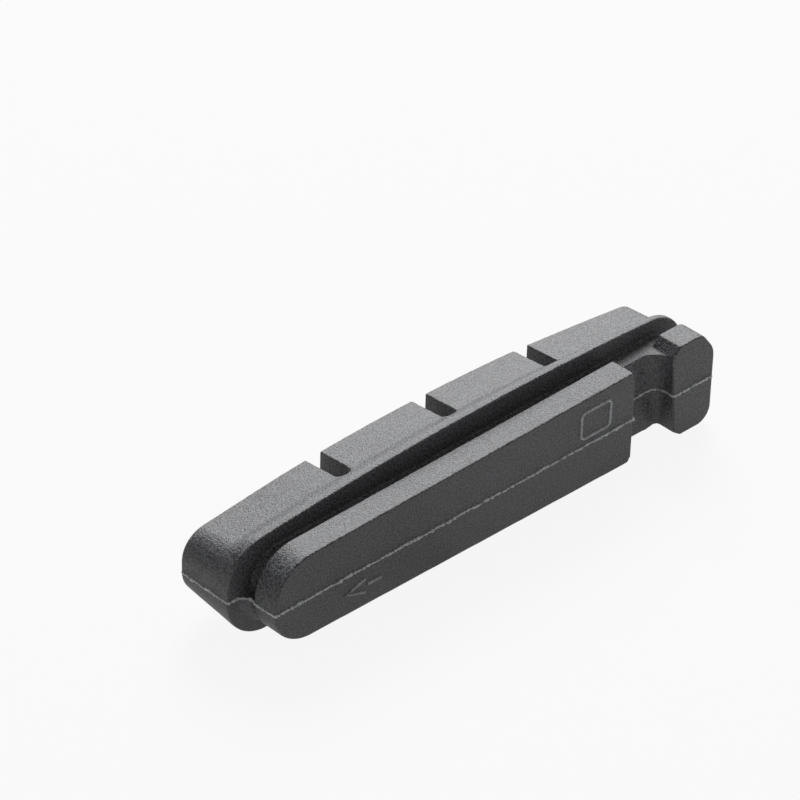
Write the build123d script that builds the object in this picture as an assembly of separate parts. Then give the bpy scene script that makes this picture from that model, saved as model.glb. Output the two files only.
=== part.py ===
from build123d import *
import math
import os

# Rubber insert of a bicycle rim brake, moulded in one piece.
# While it is modelled, x runs from the nose to the hook, y from the back face to the
# braking face and z up from the parting line of the mould. All sizes are in millimetres.

# Overall
pad_length = 55.0
pad_thickness = 9.9

# Rail that slides into the shoe, a wedge that grows towards its square end
rail_start = 1.7
rail_thickness = 2.6
rail_height_nose = 8.5
rail_height_end = 9.8
rail_rise = 0.15
rail_nose_flat = 0.1
rail_corner_radius = 0.5
rail_end_lean = 0.3
back_edge_radius = 0.3

# Groove behind the rail, and the wedge-shaped neck that stands in it
groove_width = 1.4
groove_depth_top = 1.0
groove_depth_bottom = 0.45
neck_setback = 0.9
neck_nose_flat = 0.85
neck_under_hook = 3.4
neck_end_radius = 3.0

# Notch for the screw, cut into the neck between the rail and the hook
notch_width = 5.1
notch_depth = 2.2
notch_corner_radius = 0.9
notch_rim_chamfer = 0.3

# Hook at the end of the back face, its wall to the notch leans towards the end
hook_length = 5.2
hook_wall_lean = 4.0
hook_top = 5.15
hook_bottom = 4.65
hook_bevel_length = 1.1
hook_bevel_drop_top = 0.85
hook_bevel_drop_bottom = 0.95
hook_cut_length = 1.75
hook_cut_drop = 2.3
hook_cut_radius_upper = 1.2
hook_cut_radius_lower = 2.5
hook_end_radius = 1.6

# Flange that closes the groove, the tallest part of the pad
flange_land = 0.5
flange_setback = 0.25
flange_top_nose = 4.55
flange_top_middle = 6.2
flange_top_end = 5.45
flange_bottom = 4.85
flange_radius_nose = 4.1
flange_radius_end = 4.1
flange_radius_bottom = 4.55

# Blocks that meet the rim, with an arched top and a straight lower edge
face_setback_nose = 0.2
face_setback_end = 0.5
face_top_nose = 3.4
face_top_middle = 5.05
face_top_end = 3.05
face_bottom = 2.9
face_radius_nose = 2.6
face_radius_end = 2.0
face_radius_bottom = 2.8
block_slope = 0.08
shoulder_width = 1.7
shoulder_steps = 4

# Slots between the blocks
slot_count = 3
slot_pitch = 12.55
slot_shift = 0.05
slot_width = 1.65
slot_depth = 4.4

flange_start = rail_thickness + groove_width
land_end = flange_start + flange_land
flange_end = pad_length - flange_setback
face_end = pad_length - face_setback_end
hook_start = pad_length - hook_length
rail_end = hook_start - notch_width
rail_nose_radius = (rail_height_nose - rail_nose_flat) / 2
neck_start = rail_start + neck_setback
neck_end = hook_start + neck_under_hook
neck_height_nose = rail_height_nose - groove_depth_top - groove_depth_bottom
neck_nose_radius = (neck_height_nose - neck_nose_flat) / 2
slot_middle = pad_length / 2 + slot_shift
wedge_growth = (rail_height_end - rail_height_nose) / (rail_end - rail_start)
reach = 2 * pad_length


def back_plane(depth):
    """Plane parallel to the back face, its first direction along x and its second up."""
    return Plane(origin=(0, depth, 0), x_dir=(1, 0, 0), z_dir=(0, -1, 0))


def slab(sketch, depth_from, depth_to):
    """Plate with the outline of a sketch between two depths."""
    return extrude(back_plane(depth_to) * sketch, depth_to - depth_from)


def round_corner(sketch, corner, radius):
    """The sketch with the corner nearest to a point rounded."""
    nearest = min(sketch.vertices(), key=lambda v: (Vector(*corner) - Vector(v.X, v.Y)).length)
    return fillet(nearest, radius)


def round_back_edges(plate):
    """The plate with the edges of its back face rounded."""
    return fillet(plate.faces().sort_by(Axis.Y)[0].edges(), back_edge_radius)


def mix(first, second, share):
    """A list of sizes part of the way from one list to another."""
    return [a + (b - a) * share for a, b in zip(first, second)]


def wedge_top(x):
    """Height of the upper edge of the rail, carried on past its end."""
    return rail_rise + (rail_height_nose + wedge_growth * (x - rail_start)) / 2


def wedge_bottom(x):
    """Height of the lower edge of the rail, carried on past its end."""
    return rail_rise - (rail_height_nose + wedge_growth * (x - rail_start)) / 2


def wedge(start, end, inset_top, inset_bottom, nose_radius, end_radius, lean):
    """Wedge outline with a round nose, its end leaning back from the middle to the corners."""
    square_end = end - lean
    nose_corners = [(start, wedge_bottom(start) + inset_bottom), (start, wedge_top(start) - inset_top)]
    end_corners = [(square_end, wedge_top(end) - inset_top),
                   (square_end, wedge_bottom(end) + inset_bottom)]
    outline = make_face(Polyline(*nose_corners, end_corners[0], (end, 0), end_corners[1], close=True))
    for corner in nose_corners:
        outline = round_corner(outline, corner, nose_radius)
    for corner in end_corners:
        outline = round_corner(outline, corner, end_radius)
    return outline


def arched_outline(start, end, top_nose, top_middle, top_end, radius_nose, radius_end,
                   bottom, radius_bottom):
    """Outline with an arched top, a straight lower edge and four round corners."""
    arch = ThreePointArc((0, top_nose), (pad_length / 2, top_middle), (pad_length, top_end))
    under_arch = make_face([arch, Polyline((pad_length, top_end), (pad_length, -bottom),
                                           (0, -bottom), (0, top_nose))])
    height = top_middle + bottom
    window = Pos((start + end) / 2, top_middle - height / 2) * Rectangle(end - start, 2 * height)
    outline = under_arch & window
    outline = round_corner(outline, (start, top_nose), radius_nose)
    outline = round_corner(outline, (end, top_end), radius_end)
    for corner in ((start, -bottom), (end, -bottom)):
        outline = round_corner(outline, corner, radius_bottom)
    return outline


def rail():
    """Wedge-shaped plate with a half-round nose and a square end."""
    outline = wedge(rail_start, rail_end, 0, 0, rail_nose_radius, rail_corner_radius, rail_end_lean)
    return round_back_edges(slab(outline, 0, rail_thickness))


def wall(height):
    """Place of the hook's wall to the notch at a height over the parting line."""
    return hook_start - height * math.tan(math.radians(hook_wall_lean))


def hook():
    """Block at the end of the back face, bevelled towards the notch."""
    wall_top = hook_top - hook_bevel_drop_top
    wall_bottom = hook_bevel_drop_bottom - hook_bottom
    corners = [(wall(wall_top), wall_top), (wall(wall_top) + hook_bevel_length, hook_top),
               (pad_length - hook_cut_length, hook_top), (pad_length, hook_top - hook_cut_drop),
               (pad_length, -hook_bottom),
               (wall(wall_bottom) + hook_bevel_length, -hook_bottom), (wall(wall_bottom), wall_bottom)]
    outline = make_face(Polyline(*corners, close=True))
    outline = round_corner(outline, corners[2], hook_cut_radius_upper)
    outline = round_corner(outline, corners[3], hook_cut_radius_lower)
    outline = round_corner(outline, corners[4], hook_end_radius)
    return round_back_edges(slab(outline, 0, rail_thickness))


def along_wall(sketch):
    """Cutter with a sketch seen from above, measured from the hook's wall and leaning with it."""
    return Pos(hook_start, 0, 0) * Rot(0, -hook_wall_lean, 0) * extrude(sketch, reach, both=True)


def neck():
    """Core that joins the rail and the hook to the flange, and is the floor of the notch."""
    outline = wedge(neck_start, neck_end, groove_depth_top, groove_depth_bottom,
                    neck_nose_radius, neck_end_radius, 0)
    notch = Pos(-hook_start / 2, 0) * Rectangle(hook_start, 2 * notch_depth)
    notch = along_wall(round_corner(notch, (0, notch_depth), notch_corner_radius))
    hook_room = along_wall(Pos(hook_start / 2, 0) * Rectangle(hook_start, 2 * notch_depth))
    core = slab(outline, 0, flange_start) - notch - hook_room
    lowest, highest = core.faces().sort_by(Axis.Z)[0], core.faces().sort_by(Axis.Z)[-1]
    rims = [edge for edge in lowest.edges() + highest.edges()
            if edge.center().Y < notch_depth + notch_rim_chamfer and edge.center().X < hook_start
            and edge.bounding_box().size.X > notch_rim_chamfer]
    return chamfer(rims, notch_rim_chamfer)


def outline_at(depth):
    """Outline of the flange and the blocks, from the outer edge of the flange inwards."""
    across = (depth - land_end) / (pad_thickness - land_end)
    along = min((depth - land_end) / shoulder_width, 1)
    fallen = along * along * (3 - 2 * along)
    rise = block_slope * (pad_thickness - depth)
    ends = mix([0, flange_end], [face_setback_nose, face_end], across)
    flange_tops = [flange_top_nose, flange_top_middle, flange_top_end,
                   flange_radius_nose, flange_radius_end]
    face_tops = [face_top_nose, face_top_middle, face_top_end, face_radius_nose, face_radius_end]
    tops = mix(flange_tops, [size + rise for size in face_tops], fallen)
    bottoms = mix([flange_bottom, flange_radius_bottom], [face_bottom, face_radius_bottom], across)
    return arched_outline(*ends, *tops, *bottoms)


def flange_and_blocks():
    """Arched flange, the shoulder that falls away from it, and the tapered blocks."""
    land = slab(outline_at(land_end), flange_start, land_end)
    depths = [land_end + shoulder_width * step / shoulder_steps for step in range(shoulder_steps + 1)]
    shoulder = loft([back_plane(depth) * outline_at(depth) for depth in depths])
    blocks = loft([back_plane(depth) * outline_at(depth) for depth in (depths[-1], pad_thickness)],
                  ruled=True)
    return land + shoulder + blocks


def slot(x):
    """Cutter for one slot with a round floor."""
    run = slot_depth - slot_width / 2
    channel = Rectangle(slot_width, 2 * run) + Pos(0, -run) * Circle(slot_width / 2)
    return Pos(x, pad_thickness, 0) * extrude(channel, reach, both=True)


def pad():
    """The whole moulding."""
    body = rail() + hook() + neck() + flange_and_blocks()
    for index in range(slot_count):
        body -= slot(slot_middle + (index - (slot_count - 1) / 2) * slot_pitch)
    return body


os.makedirs("parts", exist_ok=True)
body = pad()
lowest = body.bounding_box().min.Z
body = Pos(-pad_length / 2, -pad_thickness / 2, -lowest) * body
export_step(body, "parts/brake_pad.step")
print("parting line above the lowest edge:", round(-lowest, 3))
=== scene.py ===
# %% [markdown]
# # Rubber insert of a rim brake
# This lesson dresses a finished CAD model of a brake insert: a moulded block of rubber
# that slides into the shoe of a bicycle brake by a rail on its back. The CAD gives every
# main shape. Blender adds a few finer forms and what the mould leaves on rubber: softened
# edges, the ragged parting line, the raised marks and the fine grain.

# %% Load the frame
import bmesh
import bpy
import math
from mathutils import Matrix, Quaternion, Vector


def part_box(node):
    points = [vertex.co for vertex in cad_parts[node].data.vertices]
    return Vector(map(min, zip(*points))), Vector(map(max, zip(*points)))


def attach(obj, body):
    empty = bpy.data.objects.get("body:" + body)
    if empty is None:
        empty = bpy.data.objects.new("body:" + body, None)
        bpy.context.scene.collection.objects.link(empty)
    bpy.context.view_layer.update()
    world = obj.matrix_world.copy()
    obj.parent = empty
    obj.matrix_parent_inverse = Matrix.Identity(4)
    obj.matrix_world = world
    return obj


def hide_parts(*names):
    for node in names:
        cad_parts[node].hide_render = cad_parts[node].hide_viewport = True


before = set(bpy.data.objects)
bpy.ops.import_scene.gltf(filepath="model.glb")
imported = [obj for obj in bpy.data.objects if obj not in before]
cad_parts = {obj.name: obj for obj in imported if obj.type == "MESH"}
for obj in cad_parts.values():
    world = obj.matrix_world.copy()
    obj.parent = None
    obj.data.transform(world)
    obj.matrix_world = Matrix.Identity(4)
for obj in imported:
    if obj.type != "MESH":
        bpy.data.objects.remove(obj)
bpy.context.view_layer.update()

pad_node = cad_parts["brake_pad"]
low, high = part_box("brake_pad")
print("the CAD node has", len(pad_node.data.polygons), "faces")

# %% [markdown]
# The frame is in metres, and the sizes of a small part are easier to read in millimetres,
# so one name turns millimetres to metres. The CAD model keeps its parting line level, at
# a known height over the lowest edge, and its back face is its lowest y.

# %% Sizes and planes
mm = 0.001
parting_height = 4.85 * mm
back = low.y
nose = low.x
print("back face at y", round(back / mm, 2), "mm, nose at x", round(nose / mm, 2), "mm")

# %% [markdown]
# A product photograph of so small a part is taken from far away with a long lens, which
# keeps parallel edges almost parallel. The picture is 800 pixels wide, and the lens is
# given by its length in those pixels. The camera is set by the point that it looks at, its
# distance, and three angles: round the part, down on it, and its own small roll.

# %% Camera
picture_pixels = 800
lens_pixels = 4500
sensor_width = 36
camera_target = Vector((3.70, 10.94, 4.85)) * mm
camera_distance = 401.5 * mm
camera_heading = math.radians(44.42)
camera_dip = math.radians(34.98)
camera_roll = math.radians(1.55)

looking = Vector((math.sin(camera_heading) * math.cos(camera_dip),
                  math.cos(camera_heading) * math.cos(camera_dip),
                  -math.sin(camera_dip)))
camera_data = bpy.data.cameras.new("camera")
camera_data.sensor_width = sensor_width
camera_data.lens = sensor_width * lens_pixels / picture_pixels
camera = bpy.data.objects.new("camera", camera_data)
camera.rotation_mode = "QUATERNION"
camera.rotation_quaternion = looking.to_track_quat("-Z", "Y") @ Quaternion((0, 0, 1), camera_roll)
camera.location = camera_target - looking * camera_distance
bpy.context.scene.collection.objects.link(camera)
bpy.context.scene.camera = camera
print("lens", round(camera_data.lens, 1), "mm, camera at", [round(v, 3) for v in camera.location])

# %% [markdown]
# Colours are written as the hex values that a picture editor shows. Blender works in
# linear light, so one function turns a hex value to linear numbers. A second function
# adds a node with its settings and links, for materials and for Geometry Nodes alike.

# %% Colour and node helpers
def linear(hex_value):
    """An sRGB hex colour as linear red, green, blue and alpha, by the standard's own curve."""
    channels = [int(hex_value[place:place + 2], 16) / 255 for place in (1, 3, 5)]
    return [c / 12.92 if c <= 0.04045 else ((c + 0.055) / 1.055) ** 2.4 for c in channels] + [1]


def add_node(tree, kind, inputs=None, **settings):
    """Adds a node, sets its properties, and fills its sockets with values or links."""
    node = tree.nodes.new(kind)
    for name, value in settings.items():
        setattr(node, name, value)
    for name, value in (inputs or {}).items():
        if isinstance(value, bpy.types.NodeSocket):
            tree.links.new(value, node.inputs[name])
        else:
            node.inputs[name].default_value = value
    return node


def new_material(name):
    """An empty node material, its tree and its output node."""
    material = bpy.data.materials.new(name)
    material.use_nodes = True
    material.node_tree.nodes.clear()
    return material, material.node_tree, add_node(material.node_tree, "ShaderNodeOutputMaterial")


print("mid grey #808080 in linear light:", round(linear("#808080")[0], 3))

# %% [markdown]
# The pad is black synthetic rubber, pressed hot in a steel mould whose walls were etched.
# The etching leaves a grain of about a fifth of a millimetre, which breaks every gloss
# into specks, so the rubber looks matte, a little dusty, and paler where light grazes it.
# Broad, faint patches come from release agent that dried on the surface. Rubber has an
# index of refraction of about 1.52. The braking face was rubbed flat, and that leaves
# short upright strokes, so the stretched noise shows only where the normal points along y.
# The torn fin and the raised marks get much paler colours, a painted highlight for the
# light on their tops, which stand in shade; so each of the three has its own pair of
# colours. Edges are the values of the noise between which the specks or the gloss change.

# %% Material: moulded rubber
grain_size = 0.19 * mm
patch_size = 3.5 * mm
stroke_width = 0.35 * mm
stroke_length = 2.6 * mm
grain_depth = 0.12 * mm
grain_strength = 0.8
speck_weight, patch_weight, stroke_weight = 0.8, 0.2, 0.6
speck_edges = (0.42, 0.58)
rubbed_normals = (0.9, 0.99)
gloss_edges, gloss_swing = (0.3, 0.7), 0.08
rubber_ior = 1.52


def moulded_rubber(name, dark, pale, roughness):
    """Matte moulded rubber whose grain and patches run between two colours."""
    material, tree, output = new_material(name)
    place = add_node(tree, "ShaderNodeTexCoord").outputs["Object"]
    grain = add_node(tree, "ShaderNodeTexNoise",
                     {"Vector": place, "Scale": 1 / grain_size, "Detail": 3.0,
                      "Roughness": 0.6}).outputs["Fac"]
    patches = add_node(tree, "ShaderNodeTexNoise",
                       {"Vector": place, "Scale": 1 / patch_size, "Detail": 2.0,
                        "Roughness": 0.5}).outputs["Fac"]
    stretched = add_node(tree, "ShaderNodeMapping",
                         {"Vector": place,
                          "Scale": (1 / stroke_width, 1, 1 / stroke_length)}).outputs["Vector"]
    strokes = add_node(tree, "ShaderNodeTexNoise",
                       {"Vector": stretched, "Scale": 1.0, "Detail": 2.0}).outputs["Fac"]
    normal = add_node(tree, "ShaderNodeNewGeometry").outputs["Normal"]
    sideways = add_node(tree, "ShaderNodeSeparateXYZ", {"Vector": normal}).outputs["Y"]
    rubbed = add_node(tree, "ShaderNodeMapRange",
                      {"Value": sideways, "From Min": rubbed_normals[0],
                       "From Max": rubbed_normals[1]}).outputs["Result"]
    specks = add_node(tree, "ShaderNodeMapRange",
                      {"Value": grain, "From Min": speck_edges[0], "From Max": speck_edges[1],
                       "To Min": 0.0, "To Max": speck_weight}).outputs["Result"]
    mottled = add_node(tree, "ShaderNodeMath", {0: patches, 1: patch_weight, 2: specks},
                       operation="MULTIPLY_ADD").outputs["Value"]
    brushed = add_node(tree, "ShaderNodeMath", {0: strokes, 1: rubbed},
                       operation="MULTIPLY").outputs["Value"]
    share = add_node(tree, "ShaderNodeMath", {0: brushed, 1: stroke_weight, 2: mottled},
                     operation="MULTIPLY_ADD", use_clamp=True).outputs["Value"]
    # Sockets 6 and 7 of a Mix node are its two colours, and its output 2 is the mixed one.
    colour = add_node(tree, "ShaderNodeMix",
                      {"Factor": share, 6: linear(dark), 7: linear(pale)},
                      data_type="RGBA").outputs[2]
    rough = add_node(tree, "ShaderNodeMapRange",
                     {"Value": grain, "From Min": gloss_edges[0], "From Max": gloss_edges[1],
                      "To Min": roughness - gloss_swing,
                      "To Max": roughness + gloss_swing}).outputs["Result"]
    bump = add_node(tree, "ShaderNodeBump",
                    {"Height": grain, "Strength": grain_strength,
                     "Distance": grain_depth}).outputs["Normal"]
    shader = add_node(tree, "ShaderNodeBsdfPrincipled",
                      {"Base Color": colour, "Roughness": rough, "IOR": rubber_ior,
                       "Normal": bump}).outputs["BSDF"]
    tree.links.new(shader, output.inputs["Surface"])
    return material


pad_rubber = moulded_rubber("moulded_rubber_etched",
                            dark="#232325", pale="#6f7073", roughness=0.53)
# The fin's near-white colours are a painted highlight: the fin itself stands in shade.
flash_painted_highlight = moulded_rubber("rubber_flash_painted_highlight",
                              dark="#b0b1b2", pale="#f6f7f8", roughness=0.7)
# The marks' pale colours are a painted highlight on the tops of the beads.
marks_painted_highlight = moulded_rubber("rubber_marks_painted_highlight",
                             dark="#8c8d8f", pale="#cccdcf", roughness=0.5)
print("rubber grain", round(grain_size / mm, 2), "mm, patches", round(patch_size / mm, 1), "mm")

# %% [markdown]
# The photograph shows four places more finely than the CAD solid: the edges of the rail,
# the neck at the nose, the hook, and the inner corner of the notch beside it. Each is a
# closed solid between outlines of equally many points, which is quick to write and easy
# to correct. The sizes are millimetres from the nose, the back face and the parting line.

# %% Helpers: closed solids between outlines
arc_steps = 12


def spot(along, deep, up):
    """A point given in mm from the nose, the back face and the parting line."""
    return (nose + along * mm, back + deep * mm, parting_height + up * mm)


def at_depth(corners, depth):
    """The points of an upright outline at one depth."""
    return [spot(along, depth, up) for along, up in corners]


def arc(middle, radius, start, end, steps=arc_steps):
    """Points of an arc between two angles in degrees."""
    angles = [math.radians(start + (end - start) * step / steps) for step in range(steps + 1)]
    return [(middle[0] + radius * math.cos(angle), middle[1] + radius * math.sin(angle))
            for angle in angles]


def solid_between(name, outlines):
    """The mesh of a closed solid that joins outlines of equally many points."""
    count = len(outlines[0])
    rings = [[ring * count + place for place in range(count)] for ring in range(len(outlines))]
    walls = [(near[place], near[(place + 1) % count], far[(place + 1) % count], far[place])
             for near, far in zip(rings, rings[1:]) for place in range(count)]
    work = bmesh.new()
    verts = [work.verts.new(point) for outline in outlines for point in outline]
    for face in [rings[0], rings[-1], *walls]:
        work.faces.new([verts[index] for index in face])
    bmesh.ops.recalc_face_normals(work, faces=work.faces)
    mesh = bpy.data.meshes.new(name)
    work.to_mesh(mesh)
    work.free()
    return mesh


print("each arc has", arc_steps + 1, "points")

# %% [markdown]
# The rail slides in the channel of the shoe. It is a wedge with a half-round nose that
# grows towards its square end, and its real edges are crisper than the solid's. Its middle
# lies a little over the parting line, its lower edge a little higher than the wedge would
# put it, and its square end leans back towards both corners. Half its height at the start
# and the growth of that half in each millimetre give the wedge.

# %% Rail
rail_start, rail_end, rail_thickness = 1.7, 44.7, 2.6
rail_radius, rail_corner = 4.2, 0.25
rail_middle, rail_half, rail_growth = 0.15, 4.25, 0.0151
rail_inset, rail_lean = 0.1, 0.2
overlap = 0.05


def rail_corners():
    """The wedge of the rail with its round nose, seen from behind."""
    half_nose = rail_half + rail_growth * rail_radius
    half_end = rail_half + rail_growth * (rail_end - rail_start)
    nose_top, nose_bottom = rail_middle + half_nose, rail_middle - half_nose + rail_inset
    end_top, end_bottom = rail_middle + half_end, rail_middle - half_end + rail_inset
    nose_centre, end_centre = rail_start + rail_radius, rail_end - rail_lean - rail_corner
    return [*arc((nose_centre, nose_top - rail_radius), rail_radius, 180, 90),
            *arc((end_centre, end_top - rail_corner), rail_corner, 90, 0),
            (rail_end, 0),
            *arc((end_centre, end_bottom + rail_corner), rail_corner, 0, -90),
            *arc((nose_centre, nose_bottom + rail_radius), rail_radius, -90, -180)]


rail = solid_between("rail", [at_depth(rail_corners(), 0),
                              at_depth(rail_corners(), rail_thickness - overlap)])
print("rail:", len(rail.polygons), "faces")

# %% [markdown]
# Under the parting line the neck is thicker at the nose than the solid's, and it flares
# out to meet the flange. Two outlines alike make its upright part, and a third one, moved
# out towards the nose, makes the flare.

# %% Web at the nose
web_start, web_length, web_drop, web_radius = 1.8, 7.0, 3.7, 3.65
web_flare = 0.75
neck_depth, web_depth, flange_depth = 2.3, 3.25, 4.1


def web_outline(flare, depth):
    """The lower half of the round nose, moved out by a flare, at one depth."""
    start = web_start - flare
    round_nose = arc((start + web_radius, web_radius - web_drop), web_radius, 180, 270)
    corners = [(start, 0), *round_nose, (start + web_length, -web_drop), (start + web_length, 0)]
    return at_depth(corners, depth)


web = solid_between("nose_web", [web_outline(0, neck_depth), web_outline(0, web_depth),
                                 web_outline(web_flare, flange_depth)])
print("web:", len(web.polygons), "faces")

# %% [markdown]
# The hook ends the back face. Its wall leans towards the end of the pad, an edge is cut
# off above and below the wall, and a large corner at the top runs down to the end in two
# arcs that meet at one angle. It reaches a little lower than the solid's. The block also
# holds the end of the neck, up to the rail, and the notch is cut from it later. A plain
# box is the room that is cleared in the solid before this block takes its place.

# %% Hook
pad_end = 55.0
hook_start, hook_top, hook_bottom = 49.9, 5.1, 4.82
wall_lean, wall_bottom = 0.089, 4.2
bevel_top, bevel_bottom = 0.88, 0.9
corner_cut, corner_drop, corner_angle = 1.65, 2.2, 36.3
upper_radius, lower_radius, end_radius = 1.2, 2.5, 1.6
upper_setback, lower_setback = 0.61, 0.82
neck_top, neck_bottom = 4.13, 4.38
neck_reach, neck_inset, neck_bevel = 0.4, 0.1, 1.2
room_half, room_margin = 7, 1

top_edge = hook_start - wall_lean * neck_top
low_edge = hook_start + wall_lean * wall_bottom
hook_corners = [
    (rail_end - neck_reach, neck_top - neck_inset), (top_edge, neck_top),
    (top_edge + bevel_top, hook_top),
    *arc((pad_end - corner_cut - upper_setback, hook_top - upper_radius),
         upper_radius, 90, corner_angle),
    *arc((pad_end - lower_radius, hook_top - corner_drop - lower_setback),
         lower_radius, corner_angle, 0),
    *arc((pad_end - end_radius, end_radius - hook_bottom), end_radius, 0, -90),
    (low_edge + bevel_bottom, -hook_bottom), (low_edge, -wall_bottom),
    (low_edge - neck_bevel, -neck_bottom), (rail_end - neck_reach, -neck_bottom + neck_inset)]
hook_block = solid_between("hook_block", [at_depth(hook_corners, depth)
                                          for depth in (0, rail_thickness + overlap)])
room_corners = [(rail_end, -room_half), (pad_end + room_margin, -room_half),
                (pad_end + room_margin, room_half), (rail_end, room_half)]
hook_room = solid_between("hook_room", [at_depth(room_corners, depth)
                                        for depth in (-room_margin, rail_thickness)])
print("hook block:", len(hook_corners), "outline points")

# %% [markdown]
# The notch between the rail and the hook has a flat floor. Its inner corner, at the foot
# of the hook's wall, is wide at the top of the pad and tight at the bottom, so its cutter
# joins two outlines seen from above, each with its own radius.

# %% Notch
notch_depth, notch_radius_top, notch_radius_bottom = 2.2, 2.2, 0.4


def notch_outline(up, radius):
    """The notch from above at one height: flat floor, round corner, wall of the hook."""
    wall = hook_start - wall_lean * up
    corner = arc((wall - radius, notch_depth - radius), radius, 90, 0)
    corners = [(rail_end, -room_margin), (rail_end, notch_depth), *corner, (wall, -room_margin)]
    return [spot(along, deep, up) for along, deep in corners]


notch_room = solid_between("notch_room", [notch_outline(-hook_bottom, notch_radius_bottom),
                                          notch_outline(hook_top, notch_radius_top)])
print("notch cutter:", len(notch_room.polygons), "faces")

# %% [markdown]
# Modifiers need an object that carries the mesh they work on. It is made for that moment
# only: the mesh that its modifiers give is kept, and the object is taken away. A finished
# piece has its place in its vertices, rides on the root, and wears one material.

# %% Helpers: carriers and pieces
def carried(shape):
    """An object that carries a mesh or a curve while modifiers work on it."""
    carrier = bpy.data.objects.new(shape.name + "_carrier", shape)
    bpy.context.scene.collection.objects.link(carrier)
    return carrier


def baked_mesh(carrier, name):
    """The mesh that an object's modifiers make. The object itself is taken away."""
    evaluated = carrier.evaluated_get(bpy.context.evaluated_depsgraph_get())
    mesh = bpy.data.meshes.new_from_object(evaluated)
    mesh.name = name
    carrier.modifiers.clear()
    bpy.data.objects.remove(carrier)
    return mesh


def finish_piece(name, mesh, material):
    """Links a mesh whose place is in its vertices as a piece that rides on the root."""
    mesh.materials.clear()
    mesh.materials.append(material)
    for polygon in mesh.polygons:
        polygon.use_smooth = True
    piece = bpy.data.objects.new(name, mesh)
    bpy.context.scene.collection.objects.link(piece)
    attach(piece, "root")
    return piece


# %% [markdown]
# The CAD solid has exact edges. Moulded rubber never does: a steel mould has a small
# radius in each corner, and the rubber shrinks a little more. The pad is a copy of the
# CAD node, so the sizes stay. Boolean modifiers cut the room for the hook and the notch,
# and the finer forms then stand in the copy as closed shells that overlap it. A Remesh
# modifier covers all of them at once with small even squares, which leaves one skin. A
# Smooth modifier lets each point slide towards its neighbours, which rounds outer and inner
# edges alike, and a Decimate modifier takes out faces, most of them where the skin is flat.

# %% The pad
merge_distance = 0.001 * mm
cover_step = 0.08 * mm
smooth_factor, smooth_passes = 0.5, 4
kept_share = 0.2


def joined(name, meshes):
    """One mesh with the shells of several."""
    work = bmesh.new()
    for mesh in meshes:
        work.from_mesh(mesh)
    bmesh.ops.remove_doubles(work, verts=work.verts, dist=merge_distance)
    whole = bpy.data.meshes.new(name)
    work.to_mesh(whole)
    work.free()
    return whole


def carved(mesh, cutters):
    """A closed mesh with the room of closed cutters taken away."""
    carrier = carried(mesh)
    tools = [carried(cutter) for cutter in cutters]
    for tool in tools:
        cut = carrier.modifiers.new(tool.name, "BOOLEAN")
        cut.operation = "DIFFERENCE"
        cut.solver = "EXACT"
        cut.object = tool
    result = baked_mesh(carrier, mesh.name + "_carved")
    for tool in tools:
        bpy.data.objects.remove(tool)
    return result


def softened(mesh, name):
    """One skin over all shells of a mesh, with its edges rounded a little."""
    carrier = carried(mesh)
    cover = carrier.modifiers.new("cover", "REMESH")
    cover.mode = "VOXEL"
    cover.voxel_size = cover_step
    smooth = carrier.modifiers.new("smooth", "SMOOTH")
    smooth.factor = smooth_factor
    smooth.iterations = smooth_passes
    fewer = carrier.modifiers.new("fewer", "DECIMATE")
    fewer.ratio = kept_share
    return baked_mesh(carrier, name)


solid = joined("pad_solid", [pad_node.data])
core = carved(solid, [hook_room, notch_room])
hook = carved(hook_block, [notch_room])
pad_mesh = softened(joined("pad_shells", [core, hook, rail, web]), "pad_moulding")
print("pad faces:", len(pad_mesh.polygons), "from", len(core.polygons), "carved ones")

# %% [markdown]
# The flange and the blocks of the real pad run out a fifth of a millimetre further at the
# ends than the solid's, and the tops of the middle blocks stand a tenth higher. A smooth
# shift of the points does this. Each pair below gives two places between which a shift
# grows or fades, in mm, and the depths start behind the rail and the hook.

# %% Ends and tops of the blocks
nose_shift, end_shift, top_shift = 0.18, 0.18, 0.1
nose_zone, end_zone = (0, 5.0), (50.0, 54.7)
block_depths, flange_depths, shoulder_depths = (4.1, 9.9), (3.2, 4.0), (4.5, 6.5)
upper_heights = (1, 3)
middle_starts, middle_ends = (5, 13), (38, 46)


def ramp(value, start, end):
    """A smooth step from 0 to 1."""
    share = min(max((value - start) / (end - start), 0), 1)
    return share * share * (3 - 2 * share)


for vertex in pad_mesh.vertices:
    along, deep, up = [(value - start) / mm for value, start in
                       zip(vertex.co, (nose, back, parting_height))]
    vertex.co.x -= nose_shift * mm * ramp(deep, *block_depths) * (1 - ramp(along, *nose_zone))
    vertex.co.x += end_shift * mm * ramp(deep, *flange_depths) * ramp(along, *end_zone)
    inner = ramp(along, *middle_starts) * (1 - ramp(along, *middle_ends))
    vertex.co.z += top_shift * mm * ramp(deep, *shoulder_depths) * ramp(up, *upper_heights) * inner
pad = finish_piece("pad_moulding", pad_mesh, pad_rubber)
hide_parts("brake_pad")
print("ends moved out by", nose_shift, "and", end_shift, "mm, middle tops up by", top_shift, "mm")

# %% [markdown]
# The two halves of the mould meet in one level plane. A little rubber creeps between
# them and is torn off, which leaves a thin ragged fin along the whole back and over both
# ends. The fin follows a path that comes from the model itself: a cut through the pad
# just under the parting line. The braking face was rubbed flat, and inside the slots
# nothing is left, so the path stops there.

# %% Path of the parting line
path_drop = 0.08 * mm
slot_depth = 4.4 * mm
slot_floor = high.y - slot_depth
face_margin, end_margin = 0.05 * mm, 2 * mm


def left_bare(edge):
    """Tells whether an edge lies on the braking face or in a slot, where no fin is left."""
    middle = (edge.verts[0].co + edge.verts[1].co) / 2
    on_face = middle.y > high.y - face_margin
    off_ends = nose + end_margin < middle.x < high.x - end_margin
    return on_face or (off_ends and middle.y > slot_floor - face_margin)


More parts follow.
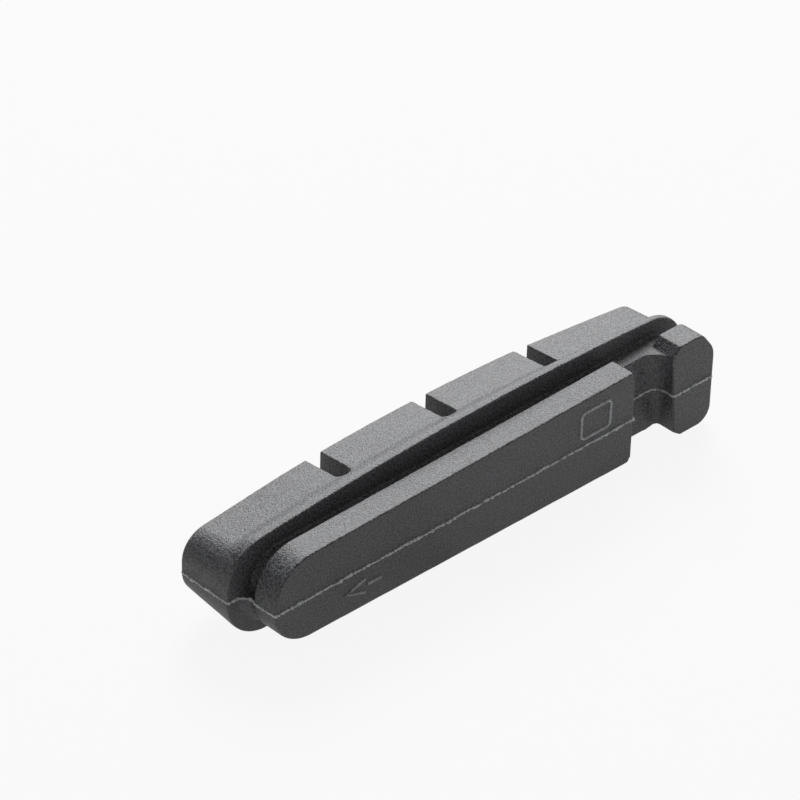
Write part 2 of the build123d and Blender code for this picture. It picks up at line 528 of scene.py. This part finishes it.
def parting_path(mesh, height):
    """The outline of a mesh at a height as a mesh of edges, without the bare places."""
    work = bmesh.new()
    work.from_mesh(mesh)
    bmesh.ops.bisect_plane(work, geom=work.verts[:] + work.edges[:] + work.faces[:],
                           plane_co=(0, 0, height), plane_no=(0, 0, 1),
                           clear_inner=True, clear_outer=True)
    bmesh.ops.delete(work, geom=work.faces[:], context="FACES_ONLY")
    dropped = [edge for edge in work.edges if left_bare(edge)]
    bmesh.ops.delete(work, geom=dropped, context="EDGES")
    loose = [vert for vert in work.verts if not vert.link_edges]
    bmesh.ops.delete(work, geom=loose, context="VERTS")
    path = bpy.data.meshes.new("parting_path")
    work.to_mesh(path)
    work.free()
    return path


path_mesh = parting_path(pad_mesh, parting_height - path_drop)
print("parting path:", len(path_mesh.edges), "edges")

# %% [markdown]
# Geometry Nodes turn that path into the fin. The tree resamples the path and sweeps a small
# ring along it. A quick noise changes the ring's radius, so that the fin is thick here and
# torn away there, and a slow one lets the path wander up and down. The last step presses
# the fin a little in height, because it stands out further than it is high. The sizes are
# named inputs, and the noises read a seed, so each run gives the same fin.

# %% Geometry Nodes: tree of the mould flash
flash_sizes = {"Step": 0.1 * mm, "Least radius": 0.04 * mm, "Most radius": 0.23 * mm,
               "Wander": 0.45 * mm, "Flatness": 0.8, "Tear length": 0.28 * mm,
               "Height": parting_height}
flash_seed = 7
drift_share = 0.25
noise_middle, tear_edges = 0.5, (0.35, 0.65)
ring_points = 8


def flash_tree():
    """Tree that sweeps a ragged ring along a path of edges."""
    tree = bpy.data.node_groups.new("mould_flash", "GeometryNodeTree")
    tree.interface.new_socket("Path", in_out="INPUT", socket_type="NodeSocketGeometry")
    for name in flash_sizes:
        tree.interface.new_socket(name, in_out="INPUT", socket_type="NodeSocketFloat")
    tree.interface.new_socket("Seed", in_out="INPUT", socket_type="NodeSocketInt")
    tree.interface.new_socket("Material", in_out="INPUT", socket_type="NodeSocketMaterial")
    tree.interface.new_socket("Fin", in_out="OUTPUT", socket_type="NodeSocketGeometry")
    given = add_node(tree, "NodeGroupInput").outputs
    curve = add_node(tree, "GeometryNodeMeshToCurve", {"Mesh": given["Path"]})
    even = add_node(tree, "GeometryNodeResampleCurve",
                    {"Curve": curve.outputs["Curve"], "Length": given["Step"]}, mode="LENGTH")
    place = add_node(tree, "GeometryNodeInputPosition").outputs["Position"]
    fineness = add_node(tree, "ShaderNodeMath", {0: 1.0, 1: given["Tear length"]},
                        operation="DIVIDE").outputs["Value"]
    coarseness = add_node(tree, "ShaderNodeMath", {0: fineness, 1: drift_share},
                          operation="MULTIPLY").outputs["Value"]
    torn = add_node(tree, "ShaderNodeTexNoise",
                    {"Vector": place, "W": given["Seed"], "Scale": fineness, "Detail": 2.0},
                    noise_dimensions="4D")
    drift = add_node(tree, "ShaderNodeTexNoise",
                     {"Vector": place, "W": given["Seed"], "Scale": coarseness, "Detail": 3.0},
                     noise_dimensions="4D")
    radius = add_node(tree, "ShaderNodeMapRange",
                      {"Value": torn.outputs["Fac"], "From Min": tear_edges[0],
                       "From Max": tear_edges[1], "To Min": given["Least radius"],
                       "To Max": given["Most radius"]})
    thick = add_node(tree, "GeometryNodeSetCurveRadius",
                     {"Curve": even.outputs["Curve"], "Radius": radius.outputs["Result"]})
    centred = add_node(tree, "ShaderNodeMath", {0: drift.outputs["Fac"], 1: noise_middle},
                       operation="SUBTRACT").outputs["Value"]
    rise = add_node(tree, "ShaderNodeMath", {0: centred, 1: given["Wander"]},
                    operation="MULTIPLY").outputs["Value"]
    upwards = add_node(tree, "ShaderNodeCombineXYZ", {"Z": rise}).outputs["Vector"]
    wandering = add_node(tree, "GeometryNodeSetPosition",
                         {"Geometry": thick.outputs["Curve"], "Offset": upwards})
    ring = add_node(tree, "GeometryNodeCurvePrimitiveCircle",
                    {"Resolution": ring_points, "Radius": 1.0})
    own_radius = add_node(tree, "GeometryNodeInputRadius").outputs["Radius"]
    sweep = add_node(tree, "GeometryNodeCurveToMesh",
                     {"Curve": wandering.outputs["Geometry"],
                      "Profile Curve": ring.outputs["Curve"],
                      "Fill Caps": True, "Scale": own_radius})
    z = add_node(tree, "ShaderNodeSeparateXYZ", {"Vector": place}).outputs["Z"]
    above = add_node(tree, "ShaderNodeMath", {0: z, 1: given["Height"]},
                     operation="SUBTRACT").outputs["Value"]
    press = add_node(tree, "ShaderNodeMath", {0: given["Flatness"], 1: 1.0},
                     operation="SUBTRACT").outputs["Value"]
    pressed = add_node(tree, "ShaderNodeMath", {0: above, 1: press},
                       operation="MULTIPLY").outputs["Value"]
    inwards = add_node(tree, "ShaderNodeCombineXYZ", {"Z": pressed}).outputs["Vector"]
    fin = add_node(tree, "GeometryNodeSetPosition",
                   {"Geometry": sweep.outputs["Mesh"], "Offset": inwards})
    whole = add_node(tree, "GeometryNodeRealizeInstances", {"Geometry": fin.outputs["Geometry"]})
    painted = add_node(tree, "GeometryNodeSetMaterial",
                       {"Geometry": whole.outputs["Geometry"], "Material": given["Material"]})
    result = add_node(tree, "NodeGroupOutput")
    tree.links.new(painted.outputs["Geometry"], result.inputs["Fin"])
    return tree


fin_tree = flash_tree()
print("fin tree:", len(fin_tree.nodes), "nodes")

# %% [markdown]
# A Nodes modifier runs the tree on the path. Its inputs are set by the identifiers of the
# sockets, because Blender doesn't find them by their names, and the result is kept as a
# plain mesh.

# %% Mould flash
def run_tree(mesh, tree, values, name):
    """The plain mesh that a Geometry Nodes tree makes of a mesh."""
    carrier = carried(mesh)
    modifier = carrier.modifiers.new("nodes", "NODES")
    modifier.node_group = tree
    sockets = {item.name: item.identifier for item in tree.interface.items_tree
               if item.in_out == "INPUT"}
    for label, value in values.items():
        modifier[sockets[label]] = value
    return baked_mesh(carrier, name)


# The fin wears near-white rubber, a painted highlight.
flash_values = {**flash_sizes, "Seed": flash_seed, "Material": flash_painted_highlight}
flash_mesh = run_tree(path_mesh, fin_tree, flash_values, "mould_flash")
finish_piece("mould_flash", flash_mesh, flash_painted_highlight)
print("flash faces:", len(flash_mesh.polygons))

# %% [markdown]
# The back face carries raised marks, cut into the mould with a small round tool: an arrow
# that points in the direction of travel, and an empty frame. Each is a bead along a few
# points of the back face, sunk into it a little. A curve with a bevel is the quickest way
# to such a bead, and the round corners of the frame are points on small arcs.

# %% Raised marks on the back
mark_radius = 0.16 * mm
mark_sink = 0.03 * mm
bead_steps = 2
tip_along, tip_up = 9.75, -2.0
barb_length, barb_rise = 2.3, 0.69
shaft_length, shaft_gap = 4.2, 0.3
corner_steps = 4


def bead(name, strokes, closed=False):
    """Beads along strokes on the back face, given in mm from the nose and the parting line."""
    line = bpy.data.curves.new(name, "CURVE")
    line.dimensions = "3D"
    line.bevel_depth = mark_radius
    line.bevel_resolution = bead_steps
    line.use_fill_caps = True
    for stroke in strokes:
        spline = line.splines.new("POLY")
        spline.points.add(len(stroke) - 1)
        for point, (along, up) in zip(spline.points, stroke):
            point.co = (nose + along * mm, back + mark_sink, parting_height + up * mm, 1)
        spline.use_cyclic_u = closed
    # The beads wear pale rubber, a painted highlight on their tops.
    return finish_piece(name, baked_mesh(carried(line), name), marks_painted_highlight)


def rounded_frame(left, right, bottom, top, corner):
    """Points of a rectangle with round corners."""
    centres = [(right - corner, top - corner, 0), (left + corner, top - corner, 90),
               (left + corner, bottom + corner, 180), (right - corner, bottom + corner, 270)]
    return [point for x, y, start in centres
            for point in arc((x, y), corner, start, start + 90, corner_steps)]


barb_along = tip_along + barb_length
bead("travel_arrow", [
    [(barb_along, tip_up + barb_rise), (tip_along, tip_up), (barb_along, tip_up - barb_rise)],
    [(barb_along + shaft_gap, tip_up), (tip_along + shaft_length, tip_up)]])
bead("side_frame", [rounded_frame(left=38.0, right=41.65, bottom=0.78, top=3.55, corner=0.45)],
     closed=True)
print("marks stand", round((mark_radius - mark_sink) / mm, 2), "mm proud")

# %% [markdown]
# The floor is plain matte paper. Soft light alone would leave it grey in the picture, and
# more light would make the pad too pale. So Light Path shows it nearly white to the camera
# and to gloss and glass, and a tenth of its lit colour stays, with the part's soft shadow.

# %% Floor
floor_half = 0.8
floor_grey = "#b4b4b4"
white_weight = 0.9
pure_white = (1, 1, 1, 1)

bpy.ops.mesh.primitive_plane_add(size=2 * floor_half, location=(0, 0, 0))
floor = bpy.context.active_object
floor.name = "floor"
paper, paper_tree, paper_output = new_material("matte_white_paper")
rays = add_node(paper_tree, "ShaderNodeLightPath").outputs
seen = add_node(paper_tree, "ShaderNodeMath", {0: rays["Is Camera Ray"], 1: rays["Is Glossy Ray"]},
                operation="MAXIMUM").outputs["Value"]
seen_all = add_node(paper_tree, "ShaderNodeMath", {0: seen, 1: rays["Is Transmission Ray"]},
                    operation="MAXIMUM").outputs["Value"]
white_share = add_node(paper_tree, "ShaderNodeMath", {0: seen_all, 1: white_weight},
                       operation="MULTIPLY").outputs["Value"]
lit = add_node(paper_tree, "ShaderNodeBsdfDiffuse", {"Color": linear(floor_grey)})
glow = add_node(paper_tree, "ShaderNodeEmission", {"Color": pure_white, "Strength": 1.0})
paper_mix = add_node(paper_tree, "ShaderNodeMixShader",
                     {"Fac": white_share, 1: lit.outputs["BSDF"], 2: glow.outputs["Emission"]})
paper_tree.links.new(paper_mix.outputs["Shader"], paper_output.inputs["Surface"])
floor.data.materials.append(paper)
print("floor", 2 * floor_half, "m wide")

# %% [markdown]
# The camera sees the world as white too, where the floor ends. For all other light the
# world is dim and even, like the walls of a studio, and fills the upright faces.

# %% World
fill_strength = 0.26

world = bpy.data.worlds.new("studio")
bpy.context.scene.world = world
world.use_nodes = True
sky = world.node_tree
sky.nodes.clear()
sky_rays = add_node(sky, "ShaderNodeLightPath").outputs
sky_seen = add_node(sky, "ShaderNodeMath",
                    {0: sky_rays["Is Camera Ray"], 1: sky_rays["Is Transmission Ray"]},
                    operation="MAXIMUM").outputs["Value"]
dim = add_node(sky, "ShaderNodeBackground", {"Color": pure_white, "Strength": fill_strength})
white = add_node(sky, "ShaderNodeBackground", {"Color": pure_white, "Strength": 1.0})
sky_mix = add_node(sky, "ShaderNodeMixShader",
                   {"Fac": sky_seen, 1: dim.outputs["Background"], 2: white.outputs["Background"]})
sky_output = add_node(sky, "ShaderNodeOutputWorld")
sky.links.new(sky_mix.outputs["Shader"], sky_output.inputs["Surface"])
print("world strength", fill_strength)

# %% [markdown]
# One wide square lamp stands behind the part, seen from the camera, and high above it. Its
# light makes the upper faces paler than the upright ones and leaves the groove dark. The
# Standard view shows each colour as it is written.

# %% Lamp and view
lamp_place = Vector((0.50, 0.52, 0.58))
lamp_size, lamp_watts = 0.5, 13.6

lamp_data = bpy.data.lights.new("behind", "AREA")
lamp_data.size = lamp_size
lamp_data.energy = lamp_watts
lamp = bpy.data.objects.new("behind", lamp_data)
lamp.location = lamp_place
lamp_aim = Vector((0, 0, parting_height)) - lamp.location
lamp.rotation_mode = "QUATERNION"
lamp.rotation_quaternion = lamp_aim.to_track_quat("-Z", "Y")
bpy.context.scene.collection.objects.link(lamp)
bpy.context.scene.view_settings.view_transform = "Standard"
print("lamp", round(lamp_aim.length, 2), "m away")
